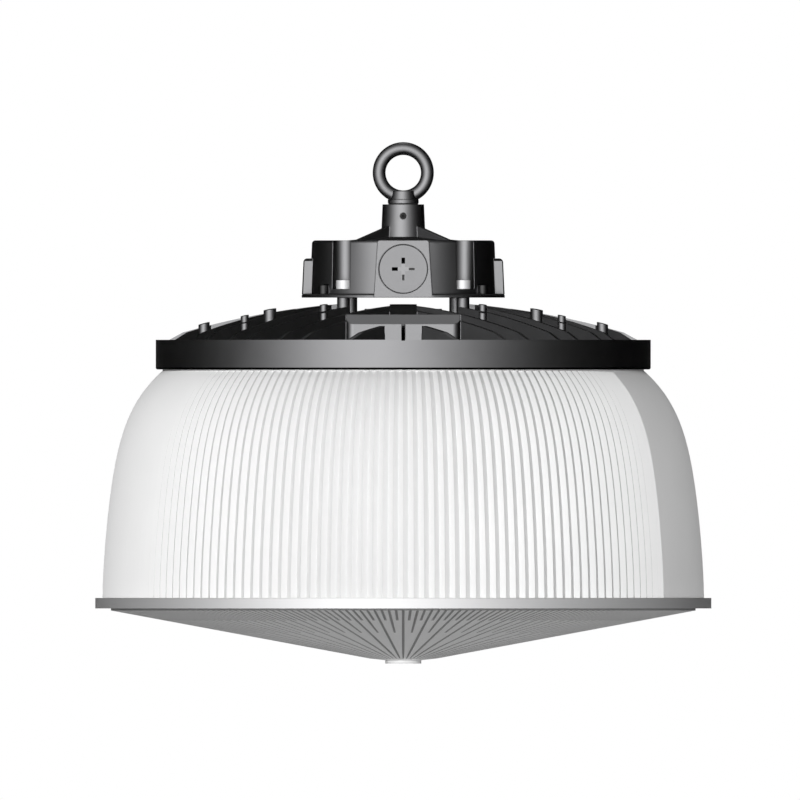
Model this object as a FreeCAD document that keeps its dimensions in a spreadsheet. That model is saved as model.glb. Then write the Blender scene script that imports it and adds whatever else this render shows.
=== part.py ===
import FreeCAD, Part
import math
import os
import re
import Sketcher
from FreeCAD import Placement, Rotation, Vector

# A pendant high bay light, in millimetres. The origin is the middle of the eye that it hangs from, +Z is up,
# and the cable entry faces -Y.

sizes = {
    # Eye bolt and what locks it
    "eye_hole_dia": 23.6,
    "eye_wire_dia": 8.6,
    "eye_collar_drop": 0.4,
    "eye_collar_height": 5.7,
    "eye_collar_dia": 16.0,
    "eye_collar_base_dia": 18.0,
    "eye_flange_height": 2.6,
    "eye_flange_dia": 20.6,
    "eye_washer_thickness": 0.6,
    "eye_washer_dia": 19.8,
    "eye_shank_dia": 10.0,
    "eye_shank_spare": 2.0,
    "eye_nut_flats": 17.0,
    "eye_nut_height": 8.0,
    "set_screw_dia": 4.2,
    "set_screw_drop": 7.8,
    "set_screw_length": 6.0,
    "set_screw_key": 2.0,
    "thread_clearance": 0.1,
    "hole_spare": 0.5,
    # Driver housing
    "boss_dia": 27.7,
    "boss_base_dia": 29.6,
    "boss_height": 24.0,
    "crown_rise": 2.2,
    "crown_dia": 74.0,
    "gusset_rise": 9.6,
    "gusset_reach": 44.7,
    "gusset_thickness": 3.0,
    "housing_dia": 121.8,
    "housing_base_dia": 124.6,
    "housing_height": 35.9,
    "housing_edge": 2.3,
    "housing_wall": 2.6,
    "housing_roof": 3.0,
    "entry_pad_width": 34.3,
    "entry_pad_base_width": 39.0,
    "entry_pad_reach": 67.6,
    "entry_pad_depth": 10.5,
    "entry_pad_corner": 1.5,
    "ear_reach": 66.6,
    "ear_base_reach": 67.6,
    "ear_height": 23.9,
    "ear_width": 24.0,
    "ear_edge": 2.7,
    "bracket_hole_dia": 6.0,
    "bracket_hole_depth": 10.6,
    "bracket_hole_drop": 24.0,
    "bracket_boss_wall": 3.0,
    "lug_dia": 7.0,
    "lug_height": 6.0,
    "lug_circle_dia": 128.0,
    "lug_angle": 34.1,
    # Cap screws, their channels and the posts below them
    "front_post_x": 39.8,
    "front_post_y": 40.9,
    "back_post_x": 35.0,
    "back_post_y": 40.5,
    "channel_width": 14.6,
    "channel_skew": 2.7,
    "channel_seat": 3.5,
    "cap_screw_dia": 6.0,
    "cap_head_dia": 10.0,
    "cap_head_height": 5.8,
    "cap_key": 5.0,
    "cap_key_depth": 3.0,
    "cap_screw_grip": 9.0,
    "screw_hole_clearance": 0.4,
    "post_dia": 8.7,
    "post_stud_dia": 6.0,
    "post_stud_length": 4.5,
    # Cable entry plug
    "plug_dia": 32.2,
    "plug_gap": 0.35,
    "plug_head": 3.0,
    "plug_body_dia": 26.0,
    "plug_body_length": 7.0,
    "plug_slot_width": 1.7,
    "plug_slot_inner": 3.7,
    "plug_slot_outer": 7.6,
    "plug_slot_depth": 3.6,
    "plug_seal_thickness": 1.2,
    # Base plate and what stands on it
    "base_gasket_thickness": 0.6,
    "base_gasket_width": 14.0,
    "base_plate_dia": 135.4,
    "base_plate_thickness": 1.7,
    "fit_clearance": 0.3,
    "small_screw_dia": 3.0,
    "small_head_dia": 5.4,
    "small_head_height": 1.2,
    "small_screw_length": 6.0,
    "driver_dia": 84.0,
    "driver_height": 22.0,
    "terminal_length": 20.0,
    "terminal_depth": 9.0,
    "terminal_height": 13.0,
    "grommet_dia": 10.0,
    "grommet_reach": 50.0,
    "lead_dia": 5.0,
    # Heat sink
    "sink_drop": 28.1,
    "rim_dia": 330.0,
    "rim_height": 19.8,
    "rim_wall": 4.0,
    "rim_edge": 1.3,
    "rim_flange_width": 31.0,
    "gutter_wall": 5.0,
    "gutter_floor": 5.0,
    "sink_plate_drop": 3.0,
    "sink_plate_thickness": 5.0,
    "fin_crown": 25.6,
    "fin_crown_radius": 532.0,
    "fin_shoulder_dia": 294.0,
    "fin_foot_dia": 312.0,
    "fin_thickness": 2.5,
    "fin_inner_offset": 8.8,
    "fin_inner_start": 62.0,
    "fin_second_offset": 34.2,
    "fin_third_offset": 51.2,
    "fin_outer_offset": 82.0,
    "fin_outer_gap": 18.4,
    "rib_thickness": 2.3,
    "rib_start": 44.0,
    "ejector_rise": 4.0,
    "ejector_dia": 5.4,
    "ejector_wide_dia": 8.5,
    "ejector_edge_dia": 7.5,
    "ejector_near_x": 53.0,
    "ejector_near_y": 96.0,
    "ejector_near_low_y": 61.0,
    "ejector_far_x": 105.7,
    "ejector_far_y": 88.8,
    "ejector_far_low_y": 54.7,
    "ejector_wide_x": 88.9,
    "ejector_edge_x": 132.8,
    "ejector_wide_y": 44.0,
    "duct_width": 18.0,
    "duct_reach": 100.0,
    "wiring_box_width": 76.0,
    "wiring_box_reach": 121.0,
    "wiring_box_depth": 34.0,
    "wiring_box_rise": 16.9,
    "wiring_box_face": 10.5,
    "wiring_box_slope": 9.1,
    "wiring_box_corner": 5.0,
    "tower_length": 38.5,
    "tower_width": 20.0,
    "tower_corner": 9.0,
    "tower_rise": 21.0,
    "pin_dia": 4.8,
    "pin_x": 23.4,
    "pin_drop": 0.3,
    "seal_dia": 13.0,
    "seal_depth": 8.0,
    # Light source and its clear cover
    "board_dia": 248.0,
    "board_thickness": 1.6,
    "chip_size": 4.0,
    "chip_height": 0.8,
    "chip_inner_dia": 84.0,
    "chip_middle_dia": 152.0,
    "chip_outer_dia": 220.0,
    "chip_sectors": 12,
    "board_screw_circle_dia": 120.0,
    "board_screw_count": 6,
    "board_screw_length": 5.0,
    "lens_gasket_thickness": 4.0,
    "lens_gasket_width": 8.0,
    "lens_plate_thickness": 3.0,
    "lens_ring_thickness": 2.0,
    "lens_ring_width": 12.0,
    "lens_screw_inset": 4.5,
    "lens_screw_count": 8,
    "lens_screw_grip": 3.0,
    # Refractor dome
    "dome_inset": 4.6,
    "dome_height": 152.3,
    "dome_base_dia": 401.0,
    "dome_lean": 0.45,
    "dome_lean_power": 1.6,
    "dome_shoulder_power": 6.5,
    "dome_stations": 8,
    "dome_station_crowding": 1.5,
    "dome_wall": 5.3,
    "dome_flange": 3.0,
    "dome_flange_gap": 3.0,
    "dome_foot": 2.1,
    "flute_count": 180,
    "flute_depth": 2.1,
    "dome_screw_inset": 16.0,
    "dome_screw_count": 6,
    "dome_screw_dia": 4.0,
    "dome_screw_head_dia": 8.0,
    "dome_screw_head_height": 2.6,
    "dome_screw_grip": 4.0,
    # Retaining ring and cone lens
    "ring_overhang": 4.9,
    "ring_web": 2.0,
    "ring_lip": 1.2,
    "ring_gasket_thickness": 0.4,
    "cone_inset": 5.6,
    "cone_wall": 2.5,
    "cone_flange": 2.1,
    "cone_skirt": 2.57,
    "cone_depth": 31.98,
    "cone_tip_dia": 45.0,
    "cone_disc_dia": 24.0,
    "cone_disc_depth": 3.45,
    "cone_groove_sectors": 64,
    "cone_groove_width": 1.3,
    "cone_groove_depth": 0.8,
    "cone_groove_half_reach": 115.0,
}

doc = FreeCAD.newDocument("high_bay_light")
sheet = doc.addObject("Spreadsheet::Sheet", "Sizes")
for row, (alias, value) in enumerate(sizes.items(), start=1):
    sheet.set(f"A{row}", alias)
    sheet.set(f"B{row}", str(value))
    sheet.setAlias(f"B{row}", alias)
doc.recompute()


# Working with sizes


def formula(text):
    def from_sheet(word):
        return "Sizes." + word.group() if word.group() in sizes else word.group()

    return re.sub(r"[A-Za-z_]\w*", from_sheet, str(text))


def number(text):
    value = sheet.evalExpression(formula(text))
    return float(getattr(value, "Value", value))


def bind(item, path, text):
    item.setExpression(path, formula(text))


def move(item, x="0", y="0", z="0"):
    bind(item, "Placement.Base.x", x)
    bind(item, "Placement.Base.y", y)
    bind(item, "Placement.Base.z", z)


# Sketches


def sketch_in(body, plane, name, offset="0", turn=0.0):
    sketch = body.newObject("Sketcher::SketchObject", f"{body.Name}_{name}")
    support = [item for item in body.Origin.OriginFeatures if item.Role == plane][0]
    sketch.AttachmentSupport = [(support, "")]
    sketch.MapMode = "FlatFace"
    axis = Vector(0, 0, 1) if plane == "XY_Plane" else Vector(0, 1, 0)
    sketch.AttachmentOffset = Placement(Vector(), Rotation(axis, turn))
    bind(sketch, "AttachmentOffset.Base.z", offset)
    return sketch


def pin(sketch, curve, place, x, y):
    for kind, text in (("DistanceX", x), ("DistanceY", y)):
        index = sketch.addConstraint(Sketcher.Constraint(kind, curve, place, number(text)))
        bind(sketch, f"Constraints[{index}]", text)


def bulge(start, end, radius):
    """Middle of the arc that leaves the straight line on its left for a positive radius."""
    chord = end - start
    half = chord.Length / 2
    rise = abs(radius) - math.sqrt(radius * radius - half * half)
    side = Vector(-chord.y, chord.x, 0).normalize()
    return (start + end) * 0.5 + side * math.copysign(rise, radius)


def outline(sketch, corners):
    """Closed outline. A third entry is the radius of the arc to the next corner, negative to bulge right."""
    first = sketch.GeometryCount
    count = len(corners)
    ends = []
    for index, corner in enumerate(corners):
        following = corners[(index + 1) % count]
        start = Vector(number(corner[0]), number(corner[1]), 0)
        end = Vector(number(following[0]), number(following[1]), 0)
        if len(corner) < 3:
            sketch.addGeometry(Part.LineSegment(start, end), False)
            ends.append((1, 2))
            continue
        radius = number(corner[2])
        sketch.addGeometry(Part.Arc(start, bulge(start, end, radius), end), False)
        ends.append((1, 2) if radius < 0 else (2, 1))
        grip = sketch.addConstraint(Sketcher.Constraint("Radius", first + index, abs(radius)))
        bind(sketch, f"Constraints[{grip}]", f"abs({corner[2]})")
    for index, corner in enumerate(corners):
        following = (index + 1) % count
        start_at, end_at = ends[index]
        meet = ("Coincident", first + index, end_at, first + following, ends[following][0])
        sketch.addConstraint(Sketcher.Constraint(*meet))
        pin(sketch, first + index, start_at, corner[0], corner[1])


def circle(sketch, dia, x="0", y="0"):
    index = sketch.GeometryCount
    sketch.addGeometry(Part.Circle(Vector(number(x), number(y), 0), Vector(0, 0, 1), number(dia) / 2), False)
    pin(sketch, index, 3, x, y)
    grip = sketch.addConstraint(Sketcher.Constraint("Diameter", index, number(dia)))
    bind(sketch, f"Constraints[{grip}]", dia)


def block(sketch, left, right, low, high):
    outline(sketch, [(left, low), (right, low), (right, high), (left, high)])


# Features


def new_body(name):
    return doc.addObject("PartDesign::Body", name)


def revolve(body, corners, name="turned", kind="PartDesign::Revolution"):
    sketch = sketch_in(body, "XZ_Plane", f"{name}_outline")
    outline(sketch, corners)
    feature = body.newObject(kind, f"{body.Name}_{name}")
    feature.Profile = sketch
    feature.ReferenceAxis = (sketch, ["V_Axis"])
    feature.Angle = 360
    return feature


def turned(name, corners):
    body = new_body(name)
    revolve(body, corners)
    return body


def flat_ring(name, inner_r, outer_r, low, high):
    return turned(name, [(inner_r, low), (outer_r, low), (outer_r, high), (inner_r, high)])


def extrude(body, sketch, length, kind="PartDesign::Pad", back=False, both=False):
    feature = body.newObject(kind, f"{sketch.Name}_{kind[12:].lower()}")
    feature.Profile = sketch
    feature.SideType = "Symmetric" if both else "One side"
    feature.Reversed = back
    bind(feature, "Length", length)
    return feature


def polar(body, feature, count):
    axis = [item for item in body.Origin.OriginFeatures if item.Role == "Z_Axis"][0]
    pattern = body.newObject("PartDesign::PolarPattern", f"{feature.Name}_ring")
    pattern.Originals = [feature]
    pattern.Axis = (axis, [""])
    pattern.Angle = 360
    bind(pattern, "Occurrences", count)
    body.Tip = pattern
    return pattern


def cylinder(name, dia, length, x="0", y="0", z="0", along=Vector(0, 0, 1)):
    item = doc.addObject("Part::Cylinder", name)
    bind(item, "Radius", f"({dia}) / 2")
    bind(item, "Height", length)
    item.Placement = Placement(Vector(), Rotation(Vector(0, 0, 1), along))
    move(item, x, y, z)
    return item


def box(name, length, width, height, x, y, z):
    item = doc.addObject("Part::Box", name)
    bind(item, "Length", length)
    bind(item, "Width", width)
    bind(item, "Height", height)
    move(item, x, y, z)
    return item


def hexagon(name, flats, height, x="0", y="0", z="0", along=Vector(0, 0, 1)):
    item = doc.addObject("Part::Prism", name)
    item.Polygon = 6
    bind(item, "Circumradius", f"({flats}) / sqrt(3)")
    bind(item, "Height", height)
    item.Placement = Placement(Vector(), Rotation(Vector(0, 0, 1), along))
    move(item, x, y, z)
    return item


def fuse(name, *items):
    joined = doc.addObject("Part::MultiFuse", name)
    joined.Shapes = list(items)
    return joined


def group(name, items):
    together = doc.addObject("Part::Compound", name)
    together.Links = list(items)
    return together


def cut(name, base, *tools):
    result = doc.addObject("Part::Cut", name)
    result.Base = base
    result.Tool = tools[0] if len(tools) == 1 else group(f"{name}_tools", tools)
    return result


def ring_points(count, circle_dia, start="0"):
    """Places on a circle, as formulas."""
    steps = range(int(number(count)))
    turns = [f"({start} + 360 * {step} / {count})" for step in steps]
    return [(f"{circle_dia} / 2 * cos({turn})", f"{circle_dia} / 2 * sin({turn})") for turn in turns]


# Levels, from the eye downwards
collar_top = "(-eye_hole_dia / 2 - eye_collar_drop)"
flange_top = f"({collar_top} - eye_collar_height)"
washer_top = f"({flange_top} - eye_flange_height)"
boss_top = f"({washer_top} - eye_washer_thickness)"
housing_top = f"({boss_top} - boss_height)"
cavity_top = f"({housing_top} - housing_roof)"
housing_base = f"({housing_top} - housing_height)"
seat_top = f"({housing_base} + channel_seat)"
plate_top = f"({housing_base} - base_gasket_thickness)"
plate_base = f"({plate_top} - base_plate_thickness)"
rim_top = f"({plate_base} - sink_drop)"
rim_base = f"({rim_top} - rim_height)"
sink_face = f"({rim_top} - sink_plate_drop)"
board_top = f"({sink_face} - sink_plate_thickness)"
board_base = f"({board_top} - board_thickness)"
lens_top = f"({board_top} - lens_gasket_thickness)"
lens_base = f"({lens_top} - lens_plate_thickness)"
lens_ring_base = f"({lens_base} - lens_ring_thickness)"
flute_top = f"({rim_base} - dome_flange)"
ring_top = f"({rim_base} - dome_height)"
foot_top = f"({ring_top} - ring_lip)"
foot_base = f"({foot_top} - dome_foot)"
cone_top = f"({foot_base} - ring_gasket_thickness)"
cone_flange_base = f"({cone_top} - cone_flange)"
ring_base = f"({cone_flange_base} - ring_lip)"
cone_edge = f"({cone_flange_base} - cone_skirt)"
cone_tip = f"({cone_edge} - cone_depth)"

# Radii that pieces share
cavity_r = "(rim_dia / 2 - rim_flange_width)"
lens_r = f"({cavity_r} - fit_clearance)"
dome_top_r = "(rim_dia / 2 - dome_inset)"
ring_r = "(dome_base_dia / 2 + ring_overhang)"
held_r = f"({ring_r} - ring_web - fit_clearance)"
cone_r = "(dome_base_dia / 2 - cone_inset)"
shank_hole = "(eye_shank_dia + 2 * thread_clearance)"
cap_hole = "(cap_screw_dia + screw_hole_clearance)"
small_bore = "(small_screw_dia + 2 * thread_clearance)"
small_hole = "(small_screw_dia + screw_hole_clearance)"
front = Vector(0, -1, 0)

post_places = [
    ("front_post_x", "-front_post_y"),
    ("-front_post_x", "-front_post_y"),
    ("back_post_x", "back_post_y"),
    ("-back_post_x", "back_post_y"),
]
lug_x = "lug_circle_dia / 2 * cos(lug_angle)"
lug_y = "lug_circle_dia / 2 * sin(lug_angle)"
lug_places = [(f"{side}{lug_x}", f"{end}{lug_y}") for side in ("", "-") for end in ("", "-")]
board_screw_places = ring_points("board_screw_count", "board_screw_circle_dia")
lens_screw_places = ring_points("lens_screw_count", f"2 * ({lens_r} - lens_screw_inset)")
dome_screw_places = ring_points("dome_screw_count", f"2 * ({dome_top_r} - dome_screw_inset)")


# Eye bolt and its fixings


def make_eye_bolt():
    ring = doc.addObject("Part::Torus", "eye_ring")
    bind(ring, "Radius1", "(eye_hole_dia + eye_wire_dia) / 2")
    bind(ring, "Radius2", "eye_wire_dia / 2")
    ring.Placement = Placement(Vector(), Rotation(Vector(0, 0, 1), front))
    shank_end = f"({cavity_top} - eye_nut_height - eye_shank_spare)"
    stem = turned("eye_stem", [
        ("0", collar_top),
        ("eye_collar_dia / 2", collar_top),
        ("eye_collar_base_dia / 2", flange_top),
        ("eye_flange_dia / 2", flange_top),
        ("eye_flange_dia / 2", washer_top),
        ("eye_shank_dia / 2", washer_top),
        ("eye_shank_dia / 2", shank_end),
        ("0", shank_end),
    ])
    fuse("eye_bolt", ring, stem)


def make_eye_fixings():
    turned("eye_washer", [
        (f"{shank_hole} / 2", washer_top),
        ("eye_washer_dia / 2", washer_top),
        ("eye_washer_dia / 2", boss_top),
        (f"{shank_hole} / 2", boss_top),
    ])
    nut_base = f"{cavity_top} - eye_nut_height"
    nut = hexagon("eye_nut_blank", "eye_nut_flats", "eye_nut_height", z=nut_base)
    cut("eye_nut", nut, cylinder("eye_nut_bore", shank_hole, "eye_nut_height", z=nut_base))
    level = f"{boss_top} - set_screw_drop"
    inner = "-(eye_shank_dia / 2 + thread_clearance)"
    outer = f"{inner} - set_screw_length"
    key_at = f"{outer} + set_screw_length / 2"
    dia = "set_screw_dia - thread_clearance"
    screw = cylinder("set_screw_blank", dia, "set_screw_length", "0", inner, level, front)
    key = hexagon("set_screw_socket", "set_screw_key", "set_screw_length", "0", key_at, level, front)
    cut("eye_set_screw", screw, key)


# Driver housing


def channel(name, width, x, y, low, high):
    """Upright round-bottomed channel, open outwards and more to the front or back than to the side."""
    ahead = f"(({y}) * channel_skew)"
    spread = f"sqrt(({x})^2 + {ahead}^2)"
    height = f"{high} - {low}"
    end = cylinder(f"{name}_end", width, height, x, y, low)
    corner_x = f"{x} + {width} / 2 * {ahead} / {spread}"
    corner_y = f"{y} - {width} / 2 * ({x}) / {spread}"
    mouth = box(f"{name}_mouth", "housing_base_dia / 2", width, height, corner_x, corner_y, low)
    bind(mouth, "Placement.Rotation.Angle", f"atan2({ahead}; {x})")
    return fuse(name, end, mouth)


def make_housing_form():
    body = turned("housing_form", [
        ("0", boss_top),
        ("0", housing_base),
        ("housing_base_dia / 2", housing_base),
        ("housing_dia / 2", f"{housing_top} - housing_edge", "-housing_edge"),
        ("housing_dia / 2 - housing_edge", housing_top),
        ("crown_dia / 2", housing_top),
        ("boss_base_dia / 2", f"{housing_top} + crown_rise"),
        ("boss_dia / 2", boss_top),
    ])
    gusset = sketch_in(body, "XZ_Plane", "gusset", turn=45)
    outline(gusset, [
        ("eye_shank_dia", f"{housing_top} - housing_roof / 2"),
        ("gusset_reach", f"{housing_top} - housing_roof / 2"),
        ("gusset_reach", housing_top),
        ("boss_dia / 2", f"{housing_top} + gusset_rise"),
        ("eye_shank_dia", f"{housing_top} + gusset_rise"),
    ])
    polar(body, extrude(body, gusset, "gusset_thickness", both=True), "4")
    pad = sketch_in(body, "XZ_Plane", "entry_pad", "entry_pad_reach")
    outline(pad, [
        ("-entry_pad_base_width / 2", plate_base),
        ("entry_pad_base_width / 2", plate_base),
        ("entry_pad_width / 2", f"{housing_top} - entry_pad_corner", "-entry_pad_corner"),
        ("entry_pad_width / 2 - entry_pad_corner", housing_top),
        ("-entry_pad_width / 2 + entry_pad_corner", housing_top, "-entry_pad_corner"),
        ("-entry_pad_width / 2", f"{housing_top} - entry_pad_corner"),
    ])
    extrude(body, pad, "entry_pad_depth", back=True)
    ears = sketch_in(body, "XZ_Plane", "ears")
    ear_top = f"{housing_base} + ear_height"
    outline(ears, [
        ("-ear_base_reach", housing_base),
        ("ear_base_reach", housing_base),
        ("ear_reach", f"{ear_top} - ear_edge", "-ear_edge"),
        ("ear_reach - ear_edge", ear_top),
        ("-ear_reach + ear_edge", ear_top, "-ear_edge"),
        ("-ear_reach", f"{ear_top} - ear_edge"),
    ])
    extrude(body, ears, "ear_width", both=True)
    lugs = sketch_in(body, "XY_Plane", "lugs", housing_base)
    for x, y in lug_places:
        circle(lugs, "lug_dia", x, y)
    extrude(body, lugs, "lug_height")
    return body


def make_housing_core():
    walls = []
    for index, (x, y) in enumerate(post_places):
        width = "(channel_width + 2 * housing_wall)"
        walls.append(channel(f"channel_wall_{index}", width, x, y, housing_base, cavity_top))
    level = f"{housing_top} - bracket_hole_drop"
    boss_dia = "(bracket_hole_dia + 2 * bracket_boss_wall)"
    for side, along in (("", Vector(1, 0, 0)), ("-", Vector(-1, 0, 0))):
        start = f"{side}(ear_reach - bracket_hole_depth - bracket_boss_wall)"
        walls.append(cylinder("bracket_boss", boss_dia, "bracket_hole_depth", start, "0", level, along))
    void = turned("housing_void", [
        ("0", cavity_top),
        ("0", housing_base),
        ("housing_base_dia / 2 - housing_wall", housing_base),
        ("housing_dia / 2 - housing_wall", cavity_top),
    ])
    return cut("housing_core", void, *walls)


def make_housing():
    shell = cut("housing_shell", make_housing_form(), make_housing_core())
    openings = []
    for index, (x, y) in enumerate(post_places):
        above = f"({housing_top} + crown_rise)"
        openings.append(channel(f"channel_{index}", "channel_width", x, y, seat_top, above))
    walls = cut("housing_walls", shell, *openings)
    drills = [cylinder("boss_bore", shank_hole, "boss_height + housing_roof", z=cavity_top)]
    for x, y in post_places:
        drills.append(cylinder("seat_bore", cap_hole, "channel_seat", x, y, housing_base))
    for x, y in lug_places:
        drills.append(cylinder("lug_bore", small_bore, "small_screw_length", x, y, housing_base))
    screw_level = f"{boss_top} - set_screw_drop"
    drills.append(cylinder("set_screw_bore", "set_screw_dia + thread_clearance", "boss_base_dia / 2", "0",
                           "-eye_shank_dia / 2 - thread_clearance", screw_level, front))
    level = f"{housing_top} - bracket_hole_drop"
    for side, along in (("", Vector(1, 0, 0)), ("-", Vector(-1, 0, 0))):
        start = f"{side}(ear_reach - bracket_hole_depth)"
        length = "2 * bracket_hole_depth"
        drills.append(cylinder("bracket_bore", "bracket_hole_dia", length, start, "0", level, along))
    middle = f"({housing_top} + {plate_base}) / 2"
    head_depth = "(plug_head + plug_seal_thickness)"
    head = cylinder("entry_recess", "plug_dia + 2 * plug_gap", head_depth, "0",
                    f"-entry_pad_reach + {head_depth}", middle, front)
    bore = cylinder("entry_bore", "plug_body_dia + 2 * plug_gap", "2 * entry_pad_depth", "0",
                    "-entry_pad_reach + 2 * entry_pad_depth", middle, front)
    drills.append(fuse("entry_opening", head, bore))
    cut("driver_housing", walls, *drills)


def make_entry_plug():
    middle = f"({housing_top} + {plate_base}) / 2"
    head_back = "(-entry_pad_reach + plug_head)"
    head = cylinder("plug_disc", "plug_dia", "plug_head", "0", head_back, middle, front)
    stem_length = "(plug_body_length + plug_seal_thickness)"
    stem_end = f"{head_back} + {stem_length}"
    stem = cylinder("plug_stem", "plug_body_dia", stem_length, "0", stem_end, middle, front)
    slots = []
    for length_axis, width_axis in (("X", "Z"), ("Z", "X")):
        for sign, near, far in (("", "min", "max"), ("-", "max", "min")):
            slot = doc.addObject("Part::Wedge", "plug_slot")
            bind(slot, "Ymin", "0")
            bind(slot, "Ymax", "plug_slot_depth")
            bind(slot, f"{length_axis}{near}", f"{sign}plug_slot_inner")
            bind(slot, f"{length_axis}{far}", f"{sign}plug_slot_outer")
            for end, side in (("min", "-"), ("max", "")):
                bind(slot, f"{length_axis}2{end}", f"{sign}plug_slot_inner")
                bind(slot, f"{width_axis}{end}", f"{side}plug_slot_width / 2")
                bind(slot, f"{width_axis}2{end}", f"{side}plug_slot_width / 2")
            move(slot, "0", "-entry_pad_reach", middle)
            slots.append(slot)
    cut("cable_entry_plug", fuse("plug_blank", head, stem), *slots)
    outer = cylinder("plug_seal_disc", "plug_dia", "plug_seal_thickness", "0",
                     f"{head_back} + plug_seal_thickness", middle, front)
    inner = cylinder("plug_seal_bore", "plug_body_dia + 2 * plug_gap", "plug_seal_thickness", "0",
                     f"{head_back} + plug_seal_thickness", middle, front)
    cut("plug_seal", outer, inner)


# Base plate and driver


def plate_openings(name, low, height):
    """Screw holes and the notch for the entry pad's foot, through one flat piece."""
    tools = []
    for x, y in post_places:
        tools.append(cylinder(f"{name}_cap_hole", cap_hole, height, x, y, low))
    for x, y in lug_places:
        tools.append(cylinder(f"{name}_lug_hole", small_hole, height, x, y, low))
    width = "(entry_pad_base_width + 2 * fit_clearance)"
    tools.append(box(f"{name}_notch", width, "entry_pad_reach", height, f"-{width} / 2",
                     "-2 * entry_pad_reach + entry_pad_depth + fit_clearance", low))
    return tools


def make_base_plate():
    inner = "base_plate_dia / 2 - base_gasket_width"
    outer = "base_plate_dia / 2 - fit_clearance"
    gasket = flat_ring("base_gasket_ring", inner, outer, plate_top, housing_base)
    cut("base_plate_gasket", gasket, *plate_openings("gasket", plate_top, "base_gasket_thickness"))
    disc = cylinder("base_plate_disc", "base_plate_dia", "base_plate_thickness", z=plate_base)
    tools = plate_openings("plate", plate_base, "base_plate_thickness")
    thickness = "base_plate_thickness"
    tools.append(cylinder("grommet_hole", "grommet_dia", thickness, "0", "grommet_reach", plate_base))
    drilled = cut("base_plate_drilled", disc, *tools)
    sinks = []
    screws = []
    for x, y in lug_places:
        sinks.append(countersink("plate_sink", "small_head_dia + 2 * thread_clearance", x, y))
        head = countersink("small_head", "small_head_dia", x, y)
        length = "small_screw_length + base_gasket_thickness"
        shank = cylinder("small_shank", "small_screw_dia", length, x, y, plate_base)
        screws.append(fuse("small_screw", head, shank))
    cut("driver_base_plate", drilled, *sinks)
    group("base_plate_screws", screws)


def countersink(name, dia, x, y):
    head = doc.addObject("Part::Cone", name)
    bind(head, "Radius1", f"({dia}) / 2")
    bind(head, "Radius2", f"({dia} - 2 * small_head_height) / 2")
    bind(head, "Height", "small_head_height")
    move(head, x, y, plate_base)
    return head


def make_driver():
    cylinder("driver_module", "driver_dia", "driver_height", z=plate_top)
    box("terminal_block", "terminal_length", "terminal_depth", "terminal_height",
        "-terminal_length / 2", "-driver_dia / 2 - fit_clearance - terminal_depth", plate_top)
    bush = cylinder("grommet_bush", "grommet_dia", "base_plate_thickness", "0", "grommet_reach", plate_base)
    bore = cylinder("grommet_bore", "lead_dia", "base_plate_thickness", "0", "grommet_reach", plate_base)
    cut("lead_grommet", bush, bore)


# Cap screws and posts


def make_driver_screws():
    screws = []
    length = f"({seat_top} - {plate_base} + cap_screw_grip)"
    for x, y in post_places:
        head = cylinder("cap_head", "cap_head_dia", "cap_head_height", x, y, seat_top)
        shank = cylinder("cap_shank", "cap_screw_dia", length, x, y, f"{seat_top} - {length}")
        key_at = f"{seat_top} + cap_head_height - cap_key_depth"
        key = hexagon("cap_socket", "cap_key", "cap_key_depth", x, y, key_at)
        screws.append(cut("cap_screw", fuse("cap_blank", head, shank), key))
    group("driver_screws", screws)


def make_posts():
    posts = []
    for x, y in post_places:
        barrel = cylinder("post_barrel", "post_dia", f"{plate_base} - {sink_face}", x, y, sink_face)
        stud_end = f"{sink_face} - post_stud_length"
        stud = cylinder("post_stud", "post_stud_dia", "post_stud_length", x, y, stud_end)
        depth = "(cap_screw_grip + hole_spare)"
        dia = "cap_screw_dia + 2 * thread_clearance"
        bore = cylinder("post_bore", dia, depth, x, y, f"{plate_base} - {depth}")
        posts.append(cut("post", fuse("post_blank", barrel, stud), bore))
    group("standoff_posts", posts)


# Heat sink


def fin_envelope(body, name, rise):
    """Removes what stands above the domed top of the fins, raised by the given amount."""
    crown = f"({rim_top} + fin_crown + {rise})"
    shoulder = f"({crown} - fin_crown_radius + sqrt(fin_crown_radius^2 - (fin_shoulder_dia / 2)^2))"
    foot = f"({rim_top} + {rise})"
    outside = "rim_dia"
    above = f"({crown} + fin_crown)"
    revolve(body, [
        ("0", crown, "fin_crown_radius"),
        ("fin_shoulder_dia / 2", shoulder),
        ("fin_foot_dia / 2", foot),
        (outside, foot),
        (outside, above),
        ("0", above),
    ], name, "PartDesign::Groove")


def add_fins(body):
    floor = f"({rim_base} + gutter_floor / 2)"
    height = f"{rim_top} + fin_crown + ejector_rise - {floor}"
    reach = "(rim_dia / 2 - rim_wall / 2)"
    fins = sketch_in(body, "XY_Plane", "fins", floor, turn=45)
    lanes = [
        ("fin_inner_offset", "fin_inner_start"),
        ("fin_second_offset", "fin_second_offset"),
        ("fin_third_offset", "fin_third_offset"),
        ("fin_outer_offset", "(fin_outer_offset + fin_outer_gap)"),
    ]
    for offset, start in lanes:
        end = f"sqrt({reach}^2 - {offset}^2)"
        for side in ("", "-"):
            lane = f"{side}{offset}"
            block(fins, start, end, f"{lane} - fin_thickness / 2", f"{lane} + fin_thickness / 2")
    polar(body, extrude(body, fins, height), "4")
    ribs = sketch_in(body, "XY_Plane", "ribs", floor)
    for side in ("", "-"):
        near = f"{side}rib_start"
        far = f"{side}{reach}"
        block(ribs, near, far, "-rib_thickness / 2", "rib_thickness / 2")
    block(ribs, "-rib_thickness / 2", "rib_thickness / 2", "rib_start", reach)
    block(ribs, "-rib_thickness / 2", "rib_thickness / 2", f"-{reach}", "-duct_reach - rib_thickness")
    extrude(body, ribs, height)
    duct = sketch_in(body, "XY_Plane", "duct", floor)
    block(duct, "-duct_width / 2", "duct_width / 2", "-duct_reach", "-rib_start")
    extrude(body, duct, height)


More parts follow.
